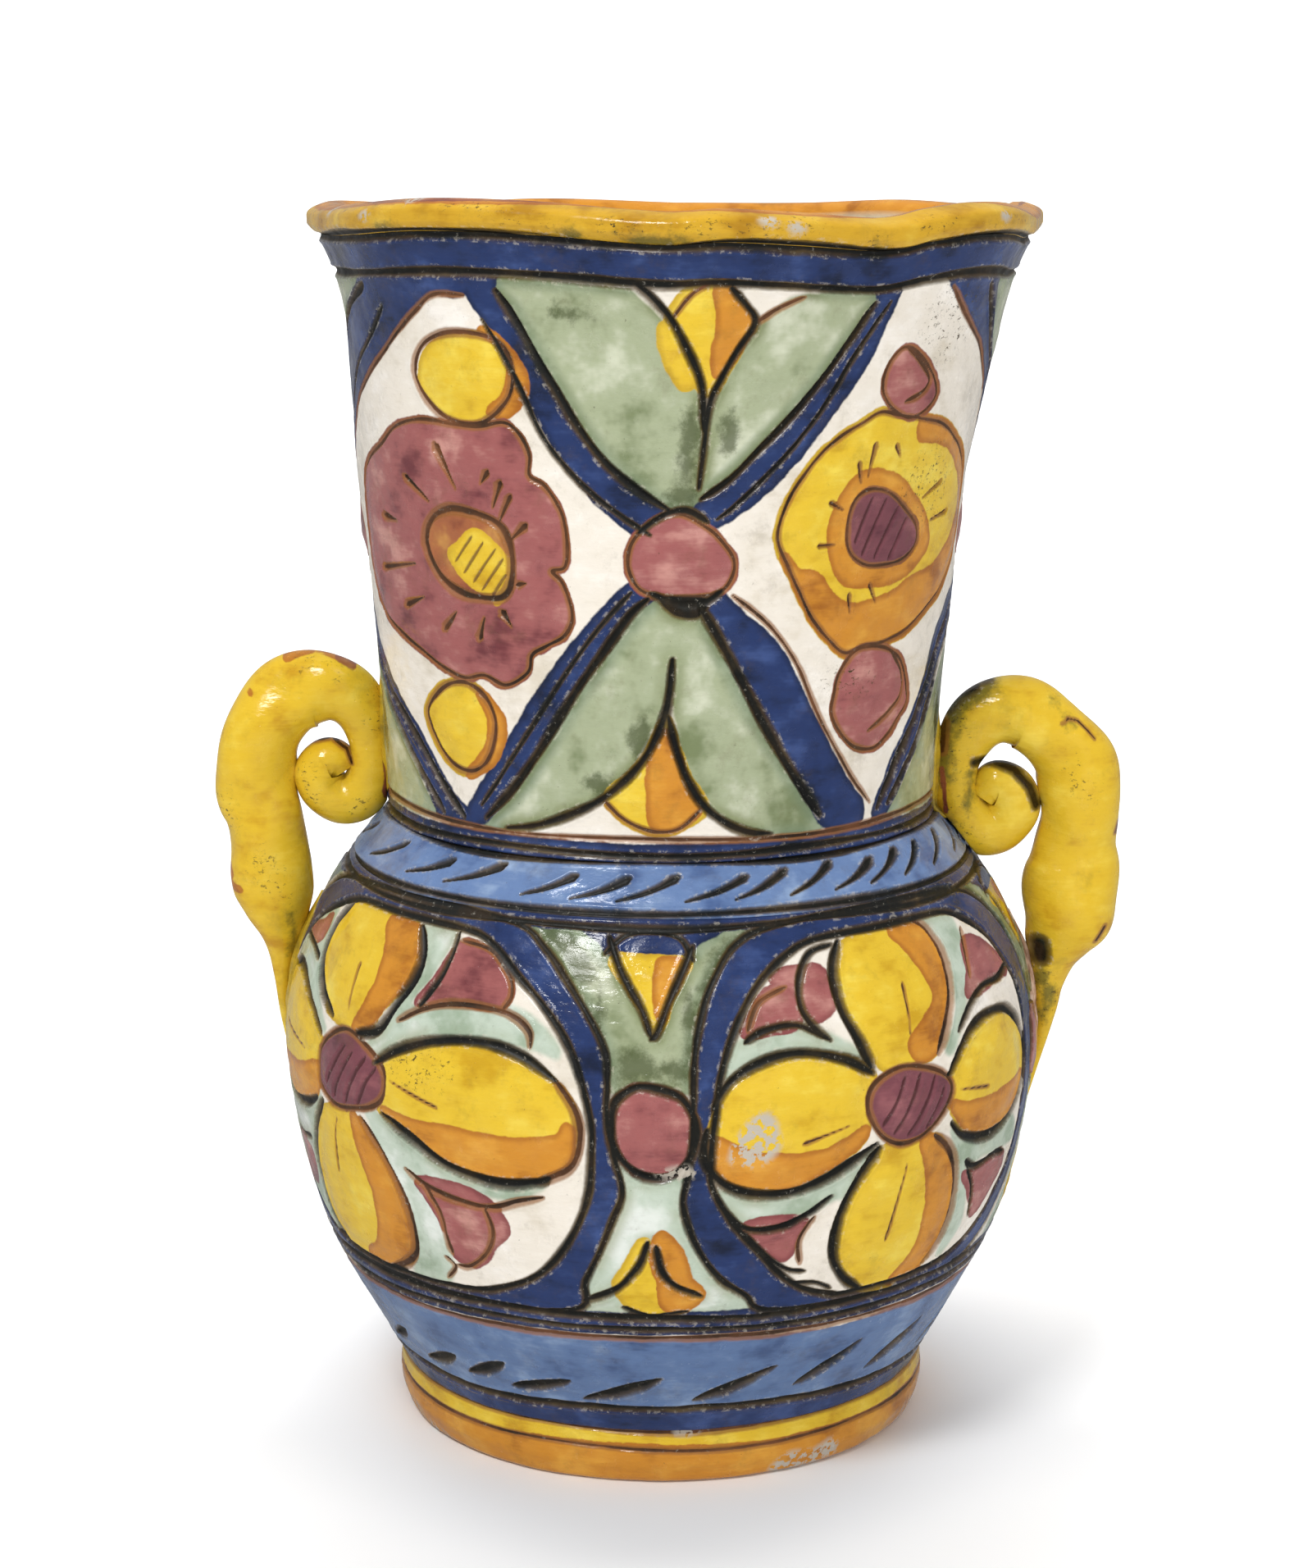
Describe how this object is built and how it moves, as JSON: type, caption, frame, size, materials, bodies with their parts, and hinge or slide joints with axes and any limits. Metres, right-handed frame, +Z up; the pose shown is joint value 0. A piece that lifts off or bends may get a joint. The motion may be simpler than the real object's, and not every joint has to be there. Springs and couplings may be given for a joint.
{
  "type": "two-handled pottery vase",
  "caption": "Glazed earthenware vase with a round belly, a flared neck, a pinched wavy lip, rolled scroll handles and carved flower decoration.",
  "frame": {"origin": "centre of the foot ring's underside, on the surface the vase stands on", "axes": "+Z up, -Y towards the painted front, the handles along -X and +X"},
  "size_m": [0.1949, 0.1606, 0.2592],
  "materials": {
    "painted_glaze": "glossy tin glaze, painted in cobalt blue, yellow, orange, mauve and pale green",
    "collar_glaze": "glossy light blue glaze with dark cuts",
    "lip_glaze": "glossy yellow glaze, orange along the top, chipped",
    "foot_glaze": "glossy orange and yellow glaze",
    "handle_glaze": "glossy yellow glaze with dark specks",
    "pad_glaze": "glossy yellow glaze over smeared clay",
    "bare_slip": "matt bare pinkish slip"
  },
  "bodies": {
    "root": {"foot_ring": "foot_glaze", "belly": "painted_glaze", "shoulder_collar": "collar_glaze", "neck": "painted_glaze", "rim_coil": "lip_glaze", "left_handle": "handle_glaze", "right_handle": "handle_glaze", "left_handle_upper_pad": "pad_glaze", "left_handle_lower_pad": "pad_glaze", "right_handle_upper_pad": "pad_glaze", "right_handle_lower_pad": "bare_slip"}
  },
  "joints": []
}
